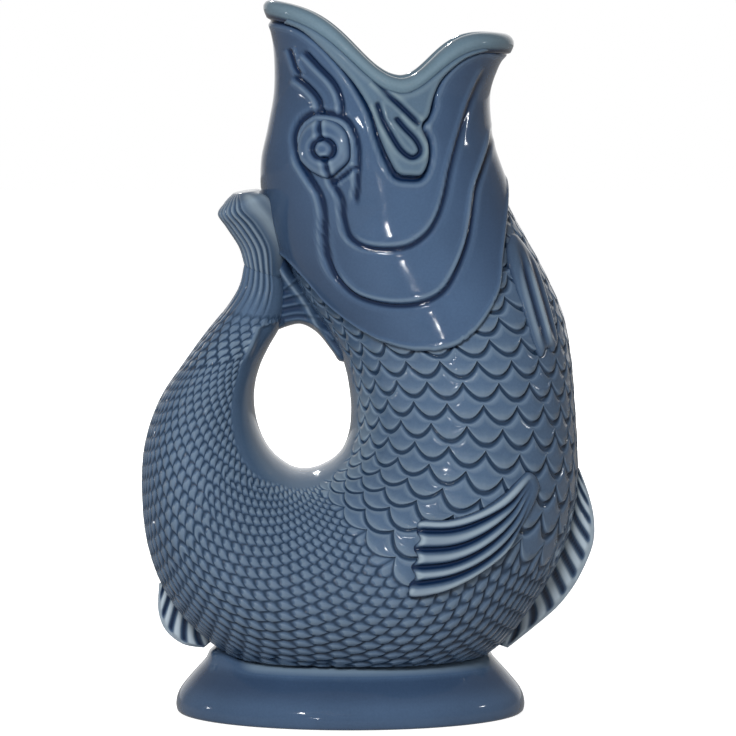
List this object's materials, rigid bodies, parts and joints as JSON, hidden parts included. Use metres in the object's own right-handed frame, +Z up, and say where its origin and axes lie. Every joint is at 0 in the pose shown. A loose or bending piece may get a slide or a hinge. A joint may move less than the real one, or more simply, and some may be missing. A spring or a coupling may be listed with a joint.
{
  "type": "gurgle jug",
  "caption": "Fish-shaped glazed ceramic jug: open mouth as spout, hollow curled tail as handle that gurgles when it pours, oval foot.",
  "frame": {"origin": "on the table, under the middle of the jug's length and width", "axes": "+Z up, +X towards the pouring lip, away from the tail handle, +Y to the fish's left"},
  "size_m": [0.1522, 0.1002, 0.2377],
  "materials": {
    "body_glaze": "gloss glaze",
    "face_glaze": "gloss glaze",
    "foot_glaze": "gloss glaze",
    "lip_glaze": "gloss glaze",
    "fin_glaze": "gloss glaze",
    "eye_glaze": "gloss glaze"
  },
  "bodies": {
    "root": {"belly_shell": "body_glaze", "head_shell": "face_glaze", "tail_shell": "body_glaze", "foot": "foot_glaze", "mouth_lip": "lip_glaze", "tail_fin": "fin_glaze", "back_fin": "fin_glaze", "belly_fin": "fin_glaze", "vent_fin": "fin_glaze", "gill_cover_left": "face_glaze", "gill_cover_right": "face_glaze", "eye_left": "eye_glaze", "eye_right": "eye_glaze", "jaw_corner_left": "lip_glaze", "jaw_corner_right": "lip_glaze", "side_fin_left": "fin_glaze", "side_fin_right": "fin_glaze", "breast_fin_left": "fin_glaze", "breast_fin_right": "fin_glaze"}
  },
  "joints": []
}
